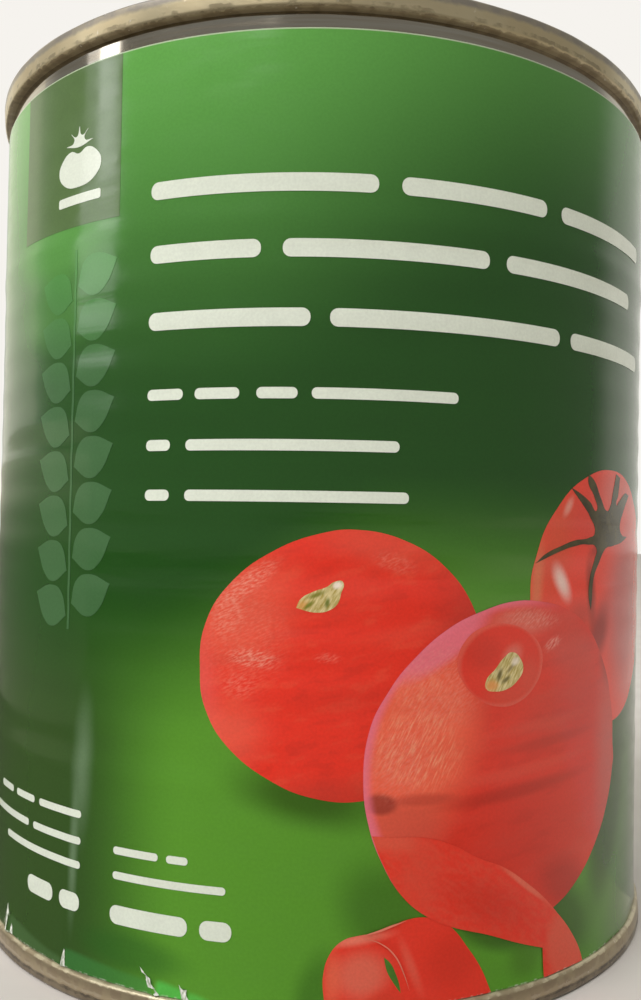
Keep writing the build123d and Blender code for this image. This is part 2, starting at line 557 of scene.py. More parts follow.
def label_green(tree, place):
    """The label's ground: a glow at the top, a deep green middle, a bright ground, and painted light on the
    flaps at the foot.
    """
    across, height = add(tree, "SeparateXYZ", {0: place}).outputs[:2]
    # Round the right side both glows come back to the level that they have at the left end of the sheet.
    behind = fade(tree, across, 60.0, 150.0)
    level = maths(tree, "ADD", height, fade(tree, across, -14.0, 32.0, 0.0, -TOP_GLOW_RISE))
    level = maths(tree, "MULTIPLY_ADD", behind, TOP_GLOW_RISE, level)
    colour = blend(tree, fade(tree, level, 68.0, 122.0), picked("deep_green"), picked("top_green"))
    slope = maths(tree, "ADD", height, fade(tree, across, -22.0, 10.0, 8.0, 8.0 - GROUND_RISE))
    slope = maths(tree, "MULTIPLY_ADD", behind, GROUND_RISE, slope)
    low = fade(tree, slope, 58.0, 36.0)
    inside = times(tree, fade(tree, across, -36.0, -15.0), fade(tree, across, 75.0, 30.0))
    side = times(tree, low, maths(tree, "SUBTRACT", 1.0, inside))
    colour = blend(tree, times(tree, low, inside), colour, picked("ground_green"))
    colour = blend(tree, side, colour, picked("shade_green"))
    colour = spots(tree, place, colour, GROUND_MARKS)
    # Painted light: brighter green where the lifted flaps at the foot face the light.
    for left, right, left_top, right_top, strength, code in FOOT_FLAP_LIGHT:
        edge = fade(tree, across, left, right, left_top, right_top)
        flap_light = fade(tree, maths(tree, "SUBTRACT", height, edge), 0.3, -0.5)
        flap_light = times(tree, flap_light, fade(tree, across, left - 0.3, left + 0.5))
        flap_light = times(tree, flap_light, fade(tree, across, right + 0.3, right - 0.3, 0.0, strength))
        colour = blend(tree, flap_light, colour, linear(code))
    return colour


def sprig_green(tree, place):
    """The leaves on the left, which brighten with the ground towards the tag."""
    height = add(tree, "SeparateXYZ", {0: place}).outputs[1]
    return blend(tree, fade(tree, height, 72.0, 92.0), picked("sprig"), picked("sprig_glow"))


def mottled(tree, place, colour, size, turn, marks):
    """Clouds a colour: each mark is where the noise starts and ends, its strength and its colour."""
    cloud = grain(tree, place, size, turn, 4.0)
    for start, end, strength, code in marks:
        colour = blend(tree, fade(tree, cloud, start, end, 0.0, strength), colour, linear(code))
    return colour


def speckled(tree, place, colour, size, turn, code, patches):
    """Scatters pale specks over soft ellipses: middle, half size across and up, turn and strength."""
    specks = fade(tree, grain(tree, place, size, turn, 5.0), 0.35, 0.8)
    for x, y, half_x, half_y, slant, strength in patches:
        where = spot(tree, place, (x, y), (half_x, half_y), slant, 0.3, strength)
        colour = blend(tree, times(tree, specks, where), colour, linear(code))
    return colour


LEFT_TOMATO_MARKS = [
    (-9.5, 47.0, 11.0, 10.0, 45, 0.1, 0.75, "#E6614A"),
    (-14.0, 38.0, 4.0, 13.0, 10, 0.1, 0.6, "#E4625A"),
    (19.0, 41.0, 9.0, 17.0, 0, 0.2, 0.65, "#B23328"),
    (-10.0, 33.0, 6.5, 6.0, 35, 0.1, 0.55, "#EE6852"),
    (8.0, 54.5, 13.0, 4.0, -12, 0.2, 0.5, "#E05843"),
    (5.0, 26.0, 19.0, 4.0, 0, 0.2, 0.6, "#BE3A2C"),
    (3.0, 49.0, 8.0, 4.0, 20, 0.2, 0.35, "#E54A38"),
    (10.0, 44.5, 9.0, 1.6, 10, 0.1, 0.35, "#E5533F"),
    (4.0, 37.5, 9.0, 2.2, 6, 0.1, 0.3, "#C93325"),
]


def peeled_red(tree, place):
    """The left tomato: smooth peeled flesh, paler and speckled towards the upper left."""
    clouds = [(0.52, 0.68, 0.35, "#E9583F"), (0.48, 0.34, 0.3, "#C42F24")]
    colour = mottled(tree, place, picked("peeled"), (4.5, 1.8), 12, clouds)
    colour = spots(tree, place, colour, LEFT_TOMATO_MARKS)
    patches = [
        (-7.4, 41.6, 3.8, 1.5, -6, 0.8),
        (-8.0, 50.2, 5.5, 1.6, 36, 0.7),
        (-10.5, 46.5, 2.6, 3.4, -20, 0.5),
        (-8.5, 44.0, 7.0, 9.0, 0, 0.18),
        (8.5, 52.6, 3.4, 1.5, -15, 0.3),
        (1.0, 41.8, 2.0, 0.8, 0, 0.4),
        (-9.0, 38.5, 2.5, 2.0, 0, 0.3),
    ]
    return speckled(tree, place, colour, (0.7, 0.22), 25, "#F2A892", patches)


FRONT_TOMATO_MARKS = [
    (10.0, 32.0, 11.5, 17.0, -20, 0.45, 0.95, "#F0664B"),
    (28.0, 20.0, 17.0, 10.0, 0, 0.1, 0.4, "#BC2E20"),
    (33.5, 13.0, 8.0, 5.0, -30, 0.2, 0.6, "#A22A20"),
    (38.0, 30.0, 7.0, 14.0, 0, 0.2, 0.5, "#D93A2B"),
    (25.0, 45.5, 7.0, 2.6, 0, 0.3, 0.6, "#DB7262"),
    (43.6, 39.5, 3.6, 5.0, 30, 0.3, 0.7, "#983A33"),
    (33.0, 34.5, 12.0, 5.5, 8, 0.2, 0.3, "#B5443A"),
    # Painted shade and painted light: darker and paler bands along the bead lines, where the paper sags over
    # the beads.
    (25.0, 25.6, 17.0, 1.3, 5, 0.2, 0.5, "#A3281D"),
    (25.0, 27.9, 17.0, 1.1, 5, 0.2, 0.3, "#DA5542"),
    (30.0, 31.0, 12.0, 1.1, 5, 0.2, 0.4, "#A82F24"),
    (29.0, 33.2, 12.0, 1.2, 5, 0.2, 0.3, "#D85646"),
    (10.5, 23.0, 7.0, 3.6, -10, 0.3, 0.6, "#CC5140"),
    # Painted shade just under the lowest bead line.
    (7.2, 25.4, 2.6, 1.5, -5, 0.5, 0.8, "#94382C"),
    (12.5, 25.7, 5.5, 1.0, 0, 0.3, 0.5, "#A8382C"),
    (43.0, 26.0, 5.0, 19.0, 0, 0.1, 0.7, "#C95A50"),
    (34.0, 42.0, 9.0, 6.0, -35, 0.2, 0.6, "#CC5245"),
]


def front_red(tree, place):
    """The front tomato: fibrous flesh on the left under a pink rim, and smooth flesh on the right."""
    clouds = [(0.52, 0.7, 0.25, "#DD5140"), (0.48, 0.34, 0.25, "#B52A1F")]
    colour = mottled(tree, place, picked("front"), (7.0, 2.2), 8, clouds)
    colour = spots(tree, place, colour, FRONT_TOMATO_MARKS)
    fibres = fade(tree, grain(tree, place, (0.22, 1.9), -27, 4.0), 0.42, 0.74)
    for middle, half_size, strength in (((11.5, 31.2), (7.0, 5.2), 0.7), ((13.0, 36.5), (6.0, 4.0), 0.35)):
        where = spot(tree, place, middle, half_size, -20, 0.5, strength)
        colour = blend(tree, times(tree, fibres, where), colour, linear("#F4A480"))
    from_middle = seen_from(tree, place, (25.6, 28.6), (20.6, 19.9))
    far = magnitude(tree, from_middle)
    side = add(tree, "VectorMath", {0: from_middle, 1: (-0.86, 0.5, 0)}, operation="DOT_PRODUCT").outputs[1]
    rim = times(tree, fade(tree, far, 0.92, 0.985), fade(tree, side, 0.15, 0.6, 0.0, 0.9))
    colour = blend(tree, rim, colour, linear("#EA7488"))
    colour = spots(tree, place, colour, [(14.8, 43.4, 8.8, 2.6, 35, 0.45, 0.85, "#EA7486")])
    patches = [
        (30.4, 42.8, 2.2, 1.0, 25, 0.9),
        (27.0, 46.0, 6.0, 1.8, -5, 0.5),
        (14.0, 38.5, 8.0, 7.0, 0, 0.3),
        (9.5, 30.0, 5.0, 6.0, -20, 0.3),
    ]
    return speckled(tree, place, colour, (0.8, 0.22), 40, "#EFA898", patches)


SKIN_DISC_MARKS = [
    (19.5, 42.4, 3.6, 3.0, 0, 0.3, 0.45, "#C43427"),
    (26.5, 39.0, 3.0, 3.5, 0, 0.2, 0.6, "#D2503F"),
    (23.8, 41.6, 2.4, 1.8, 40, 0.2, 0.7, "#DE7C6C"),
    (23.0, 37.0, 4.5, 1.8, 0, 0.2, 0.5, "#D44F3D"),
]


def disc_red(tree, place):
    """The disc of skin left round the front scar, with a thin pale rim and a pink halo at the scar."""
    far = magnitude(tree, seen_from(tree, place, (22.5, 40.7), (6.1, 4.9)))
    colour = spots(tree, place, picked("front"), SKIN_DISC_MARKS)
    return blend(tree, fade(tree, far, 0.88, 1.0, 0.0, 0.32), colour, linear("#E0806E"))


VINE_TOMATO_MARKS = [
    (31.0, 55.0, 5.0, 12.0, -18, 0.1, 0.6, "#D2593C"),
    (37.0, 58.0, 6.0, 5.0, 0, 0.2, 0.4, "#CF4A3F"),
    (46.0, 61.5, 12.0, 4.5, -5, 0.1, 0.7, "#D25F52"),
    (50.0, 46.0, 10.0, 15.0, 0, 0.3, 0.75, "#B85C5A"),
    (38.4, 49.0, 1.6, 6.5, 6, 0.2, 0.75, "#8A3424"),
    (40.5, 43.5, 3.5, 6.5, -30, 0.2, 0.8, "#8C2B24"),
    (36.0, 46.0, 5.0, 3.0, 0, 0.1, 0.5, "#A93A2A"),
    (27.6, 50.0, 1.6, 8.0, -6, 0.1, 0.7, "#D9805A"),
    (32.1, 50.2, 1.7, 3.6, 32, 0.1, 0.95, "#F0CDC2"),
    (33.2, 59.6, 0.9, 2.2, -38, 0.1, 0.6, "#ECAE9E"),
    (39.8, 54.2, 2.6, 1.4, 20, 0.2, 0.6, "#8A2B1F"),
]


def skin_red(tree, place):
    """The unpeeled tomato behind: glossy skin with two soft lights and a lobe's groove below the calyx."""
    return spots(tree, place, picked("skin"), VINE_TOMATO_MARKS)


RIBBON_MARKS = [
    (12.0, 17.5, 4.0, 7.0, 10, 0.2, 0.5, "#D9513D"),
    (21.0, 13.0, 10.0, 3.6, -24, 0.1, 0.35, "#B62E22"),
    (26.4, 14.3, 6.0, 0.6, -37, 0.3, 0.75, "#E4735C"),
    (31.2, 11.6, 7.5, 1.3, -46, 0.1, 0.7, "#DE6A56"),
    (33.4, 5.2, 3.9, 5.6, 22, 0.6, 0.7, "#E0604A"),
    (8.5, 21.3, 5.0, 2.0, -8, 0.2, 0.7, "#DF6049"),
]


def peel_red(tree, place):
    """Strips of peel: their outer skin, with paler cut edges and a bloom."""
    streaks = fade(tree, grain(tree, place, (1.6, 0.7), -35), 0.35, 0.7, 0.0, 0.35)
    colour = blend(tree, streaks, picked("peel"), linear("#DD5A45"))
    return spots(tree, place, colour, RIBBON_MARKS)


CURL_MARKS = [
    (5.5, 6.4, 4.4, 3.8, 0, 0.3, 0.8, "#DF6F5A"),
    (8.0, 3.4, 3.0, 1.8, 20, 0.3, 0.7, "#D8412F"),
    (2.2, 6.0, 1.6, 5.0, 0, 0.1, 0.6, "#E86F52"),
    (5.0, 10.4, 5.5, 1.0, 8, 0.1, 0.55, "#F09880"),
    (16.0, 7.0, 5.0, 5.0, -30, 0.2, 0.45, "#C63324"),
    (11.2, 7.0, 0.9, 5.0, 22, 0.1, 0.35, "#E27A64"),
]


def curl_red(tree, place):
    """The curl of peel that lies in front: a bright outer band round a paler inside."""
    return spots(tree, place, picked("peel"), CURL_MARKS)


SCAR_MARKS = [
    (-1.9, 47.6, 1.3, 1.0, 30, 0.1, 0.8, "#D99A4E"),
    (-1.2, 47.7, 1.1, 0.35, 40, 0.2, 0.9, "#6E7A26"),
    (-0.3, 48.9, 1.5, 0.4, 22, 0.2, 0.9, "#7C7C2C"),
    (0.9, 48.0, 0.4, 0.9, -10, 0.2, 0.9, "#66742A"),
    (2.0, 50.0, 0.8, 0.6, 20, 0.2, 0.9, "#F6E8DC"),
    (20.9, 38.3, 1.4, 1.0, 0, 0.2, 0.9, "#DE9450"),
    (22.0, 39.5, 0.5, 1.2, -20, 0.2, 0.9, "#5E5428"),
    (22.9, 38.9, 0.4, 1.1, -60, 0.2, 0.9, "#6C6236"),
    (23.6, 40.2, 0.35, 1.3, -45, 0.1, 0.8, "#7E6C44"),
    (24.3, 41.0, 0.9, 0.7, 30, 0.2, 0.7, "#F2E4D8"),
]


def scar_cream(tree, place):
    """The pale scars where the stalks sat: cream, with orange rims and dark green hollows."""
    streaks = fade(tree, grain(tree, place, (0.25, 1.4), -30, 4.0), 0.3, 0.7)
    colour = blend(tree, streaks, linear("#AE994E"), linear("#E0D09C"))
    return spots(tree, place, colour, SCAR_MARKS)


def torn_fibre(name):
    """Torn paper: the varnish is gone, so the white fibres show dull and rough."""
    material, tree = new_material(name)
    place = add(tree, "UVMap", uv_map="PrintPlace").outputs[0]
    fuzz = grain(tree, place, (0.25, 0.6))
    colour = blend(tree, fade(tree, fuzz, 0.3, 0.7), linear("#9FA894"), linear("#F4F4EE"))
    normal = add(tree, "Bump", {"Strength": 0.6, "Distance": 0.05 * MM, "Height": fuzz}).outputs[0]
    surface(tree, "BsdfPrincipled", {"Base Color": colour, "Roughness": 0.85, "Normal": normal, "IOR": 1.45})
    return material


# Marks round a seam: distance from its rim in mm, half width, colour, strength, how metallic they leave
# it, and how patchy they are.
TOP_SEAM_WEAR_AND_SHADE = [
    (0.0, 1.4, "#7E7975", 0.85, 0.45, 0.2),
    (2.3, 0.3, "#54482E", 0.55, 0.2, 1.0),
    # Dark brown ring along the seam's underside: dirt, and painted shade where the seam overhangs the wall.
    (2.95, 0.28, "#66563A", 0.85, 0.1, 0.3),
]
BASE_SEAM_SHADE_SHEEN_AND_WEAR = [
    # Painted shade: the whole base seam darker and duller than the top one.
    (1.6, 2.6, "#907F68", 0.85, 0.4, 0.3),
    # Painted shade: darker towards the seam's foot, by the table.
    (0.3, 0.9, "#5C5142", 0.8, 0.3, 0.2),
    # Painted shade: a dark line where the seam steps in above its foot.
    (0.95, 0.2, "#40362A", 0.8, 0.2, 0.7),
    # Painted highlight: a pale streak in patches along the seam's face.
    (1.45, 0.2, "#C4B8A2", 0.4, 0.6, 1.0),
    # The pale upper lip: rubbed tinplate, and a painted highlight on its rounded shoulder.
    (2.8, 0.24, "#D2C8A8", 0.8, 0.4, 0.9),
]


def lacquered_tinplate(name, rim_height, inwards, marks):
    """Tinplate under gold lacquer, rolled into a seam: warm and dull, with rubbed and dirty rings along it
    and rings of painted shade and highlight.

    rim_height is in metres and inwards is the sign of the way from the rim to the body.
    """
    material, tree = new_material(name)
    place = add(tree, "TexCoord").outputs["Object"]
    height = add(tree, "SeparateXYZ", {0: place}).outputs[2]
    fine = noise(tree, place, 0.9 * MM, 4.0)
    broad = noise(tree, place, 7 * MM)
    patches = noise(tree, place, 1.8 * MM, 4.0)
    # Distance from the rim in mm, made ragged by two noises, whose mean of 0.45 mm is taken off.
    ragged = maths(tree, "MULTIPLY_ADD", height, inwards / MM, -rim_height * inwards / MM - 0.45)
    ragged = maths(tree, "MULTIPLY_ADD", fine, 0.6, ragged)
    ragged = maths(tree, "MULTIPLY_ADD", broad, 0.3, ragged)
    colour = blend(tree, fade(tree, broad, 0.2, 0.8, 0.1, 0.6), picked("lacquer"), linear("#B3A07A"))
    metallic = 0.72
    for middle, half_width, code, strength, metal, patchy in marks:
        off = maths(tree, "ABSOLUTE", maths(tree, "SUBTRACT", ragged, middle))
        amount = fade(tree, off, half_width * 0.6, half_width, strength, 0.0)
        amount = times(tree, amount, fade(tree, patches, 0.42, 0.58, 1.0 - patchy, 1.0))
        colour = blend(tree, amount, colour, linear(code))
        metallic = add(tree, "Mix", {0: amount, 2: metallic, 3: metal}).outputs[0]
    colour = blend(tree, fade(tree, fine, 0.68, 0.76, 0.0, 0.5), colour, linear("#E6E0D4"))
    rough = fade(tree, broad, 0.3, 0.7, 0.28, 0.4)
    normal = add(tree, "Bump", {"Strength": 0.5, "Distance": 0.05 * MM, "Height": fine}).outputs[0]
    inputs = {"Base Color": colour, "Metallic": metallic, "Roughness": rough, "Normal": normal}
    surface(tree, "BsdfPrincipled", inputs)
    return material


def bright_tinplate(name):
    """Electrolytic tinplate, rolled and beaded: a bright metal with fine rolling lines round the body."""
    material, tree = new_material(name)
    place = add(tree, "TexCoord").outputs["Object"]
    lines = add(tree, "Mapping", {0: place, 3: (60.0, 60.0, 2500.0)}).outputs[0]
    rolling = noise(tree, lines, 1.0, 2.0)
    colour = blend(tree, fade(tree, rolling, 0.3, 0.7), picked("tinplate"), linear("#B0A798"))
    rough = fade(tree, rolling, 0.3, 0.7, 0.05, 0.1)
    surface(tree, "BsdfPrincipled", {"Base Color": colour, "Metallic": 1.0, "Roughness": rough})
    return material


# ---------------------------------------------------------------- stage


# Camera, level with the middle of the tin and close to it, in metres and radians, its lens in mm.
CAMERA_PLACE = (0.0, -0.15553, 0.05634)
CAMERA_YAW = 0.0181
CAMERA_PITCH = 0.0182
CAMERA_ROLL = 0.0187
CAMERA_LENS = 33.70
CAMERA_SHIFT = (-0.01745, 0.01465)


def make_camera():
    """A camera at the tin's front, close enough for a strong perspective."""
    forward = Vector(
        (
            math.sin(CAMERA_YAW) * math.cos(CAMERA_PITCH),
            math.cos(CAMERA_YAW) * math.cos(CAMERA_PITCH),
            math.sin(CAMERA_PITCH),
        )
    )
    level = Vector((math.cos(CAMERA_YAW), -math.sin(CAMERA_YAW), 0))
    above = level.cross(forward)
    right = level * math.cos(CAMERA_ROLL) + above * math.sin(CAMERA_ROLL)
    up = above * math.cos(CAMERA_ROLL) - level * math.sin(CAMERA_ROLL)
    turn = Matrix((right, up, -forward)).transposed().to_4x4()
    bpy.ops.object.camera_add()
    camera = bpy.context.object
    camera.matrix_world = Matrix.Translation(CAMERA_PLACE) @ turn
    camera.data.sensor_width = 36
    camera.data.lens = CAMERA_LENS
    camera.data.shift_x, camera.data.shift_y = CAMERA_SHIFT
    camera.data.clip_start, camera.data.clip_end = 0.01, 50
    bpy.context.scene.camera = camera


def direction(azimuth, elevation):
    """Unit vector from the tin: azimuth 0 is the front, -Y, and 90 is its right, +X."""
    a, e = math.radians(azimuth), math.radians(elevation)
    return Vector((math.sin(a) * math.cos(e), -math.cos(a) * math.cos(e), math.sin(e)))


def softbox(name, azimuth, distance, low, high, width, radiance, colour="#FFFFFF", lean=0.0):
    """An upright panel of light that faces the tin, between two heights in metres."""
    middle = direction(azimuth, 0) * distance + Vector((0, 0, (low + high) / 2))
    aim = -direction(azimuth, lean)
    deselect()
    bpy.ops.object.light_add(type="AREA", location=middle, rotation=aim.to_track_quat("-Z", "Y").to_euler())
    light = bpy.context.object
    light.name = name
    light.data.shape = "RECTANGLE"
    light.data.size, light.data.size_y = width, high - low
    light.data.energy = math.pi * width * (high - low) * radiance
    light.data.color = linear(colour)[:3]
    light.visible_camera = False


def reflected_shade_card(card, name, start, end, base, head, by_azimuth=False):
    """Makes a glowing card that only reflections show: painted shade, standing in for dim, shaded
    surroundings beside the tin.

    It brightens from base at start to head at end: heights in metres, or sines of the azimuth round the tin.
    """
    card.name = name
    material, tree = new_material(name)
    place = add(tree, "NewGeometry").outputs["Position"]
    if by_azimuth:
        place = add(tree, "VectorMath", {0: place}, operation="NORMALIZE").outputs[0]
    level = add(tree, "SeparateXYZ", {0: place}).outputs[0 if by_azimuth else 2]
    surface(tree, "Emission", {0: linear("#FFF8E2"), 1: fade(tree, level, start, end, base, head)})
    card.data.materials.append(material)
    card.visible_camera = card.visible_diffuse = card.visible_shadow = False


def room_light():
    """The world: white for the camera, even light for matt surfaces, a room paler behind for gloss."""
    world = bpy.data.worlds.new("pale_room")
    bpy.context.scene.world = world
    world.use_nodes = True
    tree = world.node_tree
    tree.nodes.clear()
    place = add(tree, "TexCoord").outputs["Generated"]
    back = add(tree, "SeparateXYZ", {0: place}).outputs[1]
    even = fade(tree, back, -0.6, 0.6, 0.36, 0.85)
    room = fade(tree, back, 0.2, 0.48, 0.27, 0.80)
    ray = add(tree, "LightPath").outputs
    level = add(tree, "Mix", {0: ray["Is Glossy Ray"], 2: even, 3: room}).outputs[0]
    grey = dimmed(tree, linear("#FFFDF3")[:3], level)
    colour = blend(tree, ray["Is Camera Ray"], grey, linear("#F6F3EE"))
    add(tree, "OutputWorld", {0: add(tree, "Background", {0: colour, 1: 1.0}).outputs[0]})


class TIN_OT_stage(bpy.types.Operator):
    """Sets the pale floor, the soft lights and the camera"""

    bl_idname = "tin.stage"
    bl_label = "Stage"

    def execute(self, context):
        deselect()
        bpy.ops.mesh.primitive_grid_add(x_subdivisions=8, y_subdivisions=8, size=6)
        floor = bpy.context.object
        floor.name = "floor"
        material, tree = new_material("pale_table")
        cloud = noise(tree, add(tree, "TexCoord").outputs["Object"], 1 / 60)
        colour = blend(tree, fade(tree, cloud, 0.3, 0.7), linear("#D6CFCA"), linear("#DCD6D1"))
        surface(tree, "BsdfPrincipled", {"Base Color": colour, "Roughness": 0.55})
        floor.data.materials.append(material)
        room_light()
        softbox("key", -38, 0.75, 0.6, 1.25, 0.75, 6.0, lean=45)
        softbox("window_strip", -76, 0.9, 0.40, 1.5, 0.126, 4.5)
        softbox("window_side", -83, 0.9, 0.40, 1.5, 0.10, 1.0)
        softbox("window_sill", -79.3, 0.9, 0.26, 0.40, 0.26, 2.1)
        softbox("left_wall", -130, 1.0, 0.12, 1.2, 0.68, 0.28, colour="#FFF0CC")
        deselect()
        # Cards seen only in reflections: painted shade for the dim place at the tin's left and the shaded
        # table round it.
        bpy.ops.mesh.primitive_cube_add(size=1, location=(-0.17, 0.12, 0.041), scale=(0.001, 0.36, 0.082))
        reflected_shade_card(bpy.context.object, "dark_card_left", 0.044, 0.080, 0.20, 0.66)
        # The card on the floor lies 1 mm over it, open to the right of the tin, between two radii in mm.
        outer, inner = 1600, 52.5
        turns = np.radians(np.linspace(-140, 76, 55))
        edge = [(outer * math.sin(t), -outer * math.cos(t), 1) for t in turns]
        edge += [(inner * math.sin(t), -inner * math.cos(t), 1) for t in turns[::-1]]
        card = cut_flat("dark_card_floor", [edge])
        write_points(card, (read_points(card) + (0, 0, 1)) * MM)
        reflected_shade_card(card, "dark_card_floor", 0.5, 0.97, 0.07, 0.6, by_azimuth=True)
        make_camera()
        context.scene.view_settings.view_transform = "Standard"
        return {"FINISHED"}


# ---------------------------------------------------------------- tin


# The end's section below its rim, in mm: seam, chuck wall, countersink groove, then rings in the panel.
SEAM_THICKNESS = 1.55
SEAM_TAPER = 0.12
SEAM_TOP_ROUND = 0.5
SEAM_HOOK_ROUND = 0.5
GROOVE_MIDDLE = 47.8
GROOVE_HALF_WIDTH = 0.75
PANEL_DEPTH = 4.4
PANEL_RINGS = [(42.5, 3.0, 0.45), (37.5, 3.0, 0.45), (31.0, 2.4, 0.35)]
PLUG_RADIUS = 49.35


def end_profile():
    """Closed half section of an end, its rim at height 0."""
    hook = SEAM_RADIUS - SEAM_TAPER - SEAM_HOOK_ROUND
    crown = SEAM_RADIUS - SEAM_TOP_ROUND
    inner_crown = SEAM_RADIUS - SEAM_THICKNESS + SEAM_TOP_ROUND
    profile = [(0, -END_DEPTH), (PLUG_RADIUS, -END_DEPTH), (PLUG_RADIUS, -SEAM_HEIGHT)]
    profile += arc((hook, SEAM_HOOK_ROUND - SEAM_HEIGHT), SEAM_HOOK_ROUND, -90, 0)
    for share in (0.7, 0.4):
        profile.append((SEAM_RADIUS - SEAM_TAPER * share, -SEAM_HEIGHT + 0.5 + 1.7 * (1 - share)))
    profile += arc((crown, -SEAM_TOP_ROUND), SEAM_TOP_ROUND, 0, 90)
    profile += arc((inner_crown, -SEAM_TOP_ROUND), SEAM_TOP_ROUND, 90, 180)
    profile += arc((GROOVE_MIDDLE, -PANEL_DEPTH), GROOVE_HALF_WIDTH, 0, -180, 10)
    for middle, width, depth in PANEL_RINGS:
        for share in np.linspace(-1, 1, 13):
            fall = depth * (1 + math.cos(math.pi * share)) / 2
            profile.append((middle - share * width / 2, -PANEL_DEPTH - fall))
    return profile + [(24.0, -PANEL_DEPTH), (12.0, -PANEL_DEPTH), (0, -PANEL_DEPTH)]


class TIN_OT_ends(bpy.types.Operator):
    """Makes the two seamed ends, each with its countersink groove and pressed rings"""

    bl_idname = "tin.ends"
    bl_label = "Seamed ends"

    def execute(self, context):
        for name, rim, up, marks in (
            ("top_seamed_end", TIN_HEIGHT, 1, TOP_SEAM_WEAR_AND_SHADE),
            ("base_seamed_end", 0.0, -1, BASE_SEAM_SHADE_SHEEN_AND_WEAR),
        ):
            end = turned(name, [(radius, rim + up * height) for radius, height in end_profile()])
            clouds = bpy.data.textures.new(name, "CLOUDS")
            clouds.noise_scale = 6 * MM
            apply_modifier(end, "DISPLACE", texture=clouds, strength=0.10 * MM, texture_coords="LOCAL")
            material = lacquered_tinplate(f"gold_lacquered_tinplate_{name}", rim * MM, -up, marks)
            finish(end, material, "end_lacquer", name.replace("_seamed", ""))
        return {"FINISHED"}


class TIN_OT_wall(bpy.types.Operator):
    """Makes the beaded tinplate wall under the label"""

    bl_idname = "tin.wall"
    bl_label = "Beaded wall"

    def execute(self, context):
        sizes = context.scene.tin_sizes
        low, high = sizes.bead_low / MM + PRINT_ZERO, sizes.bead_high / MM + PRINT_ZERO
        pitch, depth = sizes.bead_pitch / MM, sizes.bead_depth / MM
        heights = np.linspace(low, high, round((high - low) / pitch) * 12 + 1)
        beads = [(WALL_RADIUS - depth * math.sin(math.pi * (h - low) / pitch) ** 2, h) for h in heights]
        inner = WALL_RADIUS - 0.4
        profile = [(inner, WALL_FOOT), (WALL_RADIUS, WALL_FOOT), *beads]
        profile += [(WALL_RADIUS, WALL_TOP), (inner, WALL_TOP)]
        profile += [(inner, high), (inner - depth, high)]
        profile += [(inner - depth, low), (inner, low)]
        wall = turned("beaded_wall", profile, 192)
        finish(wall, bright_tinplate("bright_tinplate"), "tinplate", "can_body")
        return {"FINISHED"}


# ---------------------------------------------------------------- label


class TIN_OT_label(bpy.types.Operator):
    """Wraps the paper label round the body, with its glued lap at the back"""

    bl_idname = "tin.label"
    bl_label = "Paper label"

    def execute(self, context):
        sizes = context.scene.tin_sizes
        width = math.tau * LABEL_RADIUS + sizes.lap / MM
        deselect()
        bpy.ops.mesh.primitive_grid_add(x_subdivisions=300, y_subdivisions=150, size=1)
        sheet = bpy.context.object
        sheet.name = "label_sheet"
        points = read_points(sheet)
        share = points[:, 1] + 0.5
        # The rows lie closer at the foot, where the paper is creased.
        rise = share - 0.09 * np.sin(math.tau * share) * (1 - share) ** 2
        points[:, 0] *= width
        points[:, 1] = PAPER_FOOT + rise * (PAPER_TOP - PAPER_FOOT)
        write_points(sheet, points)
        apply_modifier(sheet, "SOLIDIFY", thickness=sizes.paper / MM, offset=-1)
        write_maps(sheet, rows=2)
        lay_on_tin(sheet)
        finish(sheet, coated_paper("varnished_label_paper", label_green), "label_paper", "paper_label")
        return {"FINISHED"}


# Width of a leaf of the sprig, as a share of its length.
LEAF_WIDTH = 0.42


def box_outline(left, right, foot, top):
    return [(left, foot, 1), (right, foot, 1), (right, top, 1), (left, top, 1)]


def leaf(x, y, size, turn):
    """Outline of a pointed leaf that starts at (x, y) and runs off at a turn in degrees."""
    half = [(0.3, LEAF_WIDTH * 0.8), (0.6, LEAF_WIDTH * 0.75)]
    shape = [(0, 0, 1), *half, (1, 0, 1), *[(along, -off) for along, off in half[::-1]]]
    c, s = math.cos(math.radians(turn)), math.sin(math.radians(turn))
    return [(x + size * (a * c - b * s), y + size * (a * s + b * c), *sharp) for a, b, *sharp in shape]


# Bars stand where a label has its words. Each row has the left and right end of its bars, then their foot
# and top, in mm of paper.
HEADLINE_BARS = [
    [(-21.2, 5.9), (8.6, 28.3), (30.9, 54.0), 94.6, 96.7],
    [(-21.2, -7.4), (-4.9, 19.8), (22.2, 49.6), 87.1, 89.2],
    [(-21.2, -1.6), (0.6, 30.9), (33.0, 54.0), 79.2, 81.3],
]
SMALL_BARS = [
    [(-21.2, -16.5), (-15.0, -9.6), (-7.6, -2.9), (-1.3, 15.9), 71.0, 72.3],
    [(-21.2, -18.0), (-16.0, 8.8), 65.1, 66.4],
    [(-21.2, -18.0), (-16.0, 10.0), 59.3, 60.6],
    [(-24.6, -18.4), (-17.3, -14.6), 17.7, 18.6],
    [(-24.6, -10.0), 14.8, 15.7],
    [(-50.7, -46.0), (-44.8, -39.6), (-38.4, -29.9), 20.9, 21.8],
    [(-53.0, -41.0), (-39.8, -29.9), 17.7, 18.6],
    [(-47.9, -29.9), 14.8, 15.7],
]
WEIGHT_BARS = [
    [(-24.9, -14.5), (-13.0, -9.2), 9.6, 11.8],
    [(-40.9, -35.0), (-33.6, -29.9), 9.6, 11.8],
]

# The emblem on the tag: a plain round fruit, and a crown of five sepals clear above it.
EMBLEM_FRUIT = [
    (-29.1, 100.9), (-29.9, 102.3), (-31.6, 103.1), (-33.2, 102.6), (-34.8, 103.1), (-36.5, 102.3),
    (-37.3, 100.9), (-36.4, 99.3), (-33.2, 98.4), (-30.0, 99.3),
]
EMBLEM_CROWN = [
    (-30.6, 103.9, 1), (-32.2, 104.3), (-31.5, 105.4, 1), (-32.7, 104.8), (-33.2, 106.0, 1),
    (-33.7, 104.8), (-34.9, 105.4, 1), (-34.2, 104.3), (-35.8, 103.9, 1), (-33.2, 103.4),
]


